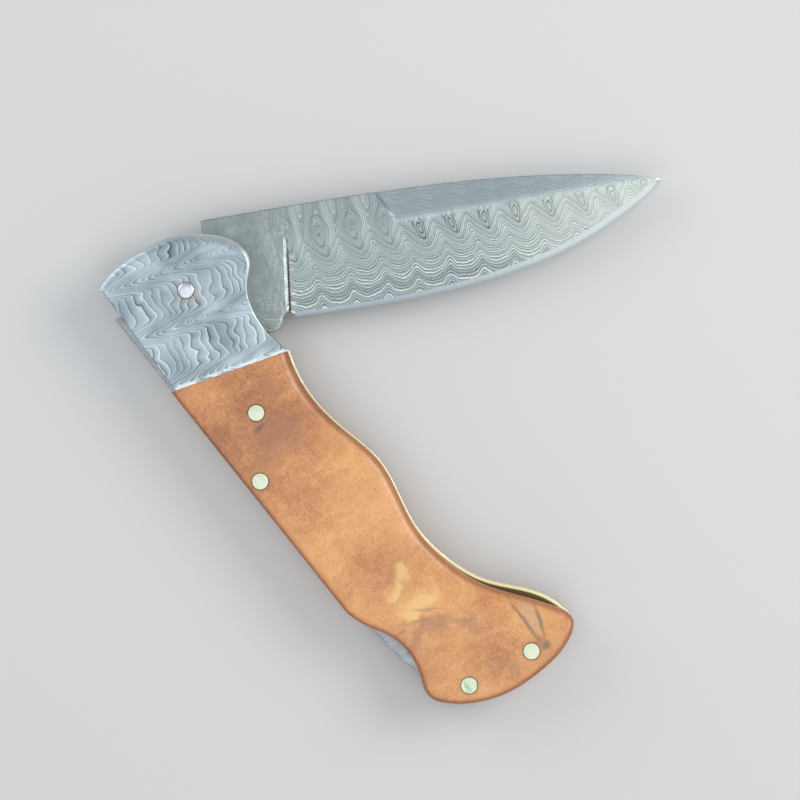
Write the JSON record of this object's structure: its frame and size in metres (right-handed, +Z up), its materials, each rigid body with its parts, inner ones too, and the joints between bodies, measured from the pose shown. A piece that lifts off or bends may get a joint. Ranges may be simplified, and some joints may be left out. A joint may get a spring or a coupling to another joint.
{
  "type": "folding pocket knife",
  "caption": "Folding pocket knife with a patterned steel drop-point blade, steel bolsters, wooden scales on brass liners and a lock bar that is released at the butt.",
  "frame": {"origin": "on the blade's pivot axis, on the flat underside that the knife lies on", "axes": "+X along the handle's spine from the pivot to the butt, +Y to the belly where the blade comes out, +Z up through the thickness to the front side"},
  "size_m": [0.1099, 0.0984, 0.0137],
  "materials": {
    "blade_steel": "etched ladder pattern, dark and light layers",
    "bolster_steel": "etched layered pattern, bolder and bluer than the blade",
    "scale_wood": "oiled, figured orange-brown hardwood",
    "liner_brass": "satin",
    "lock_steel": "satin ground",
    "pin_metal": "polished nickel silver",
    "washer_bronze": "plain"
  },
  "bodies": {
    "handle": {"pivot_pin": "pin_metal", "front_pivot_washer": "washer_bronze", "rear_pivot_washer": "washer_bronze", "front_bolster": "bolster_steel", "rear_bolster": "bolster_steel", "front_scale": "scale_wood", "rear_scale": "scale_wood", "front_liner": "liner_brass", "rear_liner": "liner_brass", "lock_bar_pin": "pin_metal", "lock_spring": "lock_steel", "butt_spacer": "lock_steel", "butt_pin_belly": "pin_metal", "butt_pin_spine": "pin_metal", "front_scale_rivet": "pin_metal", "rear_scale_rivet": "pin_metal", "front_bolster_pins": "pin_metal", "rear_bolster_pins": "pin_metal"},
    "blade": {"blade": "blade_steel"},
    "lock_bar": {"lock_bar": "lock_steel"}
  },
  "joints": [
    {"name": "blade_hinge", "type": "hinge", "parent": "handle", "child": "blade", "pos_m": [0, 0, 0.00665], "axis": [0, 0, 1], "range_deg": [-58, 118.8]},
    {"name": "lock_bar_hinge", "type": "hinge", "parent": "handle", "child": "lock_bar", "pos_m": [0.037, -0.01147, 0.00665], "axis": [0, 0, -1], "range_deg": [-1, 2.05], "stiffness_Nm_per_rad": 2, "deforming": ["lock_spring"]}
  ]
}
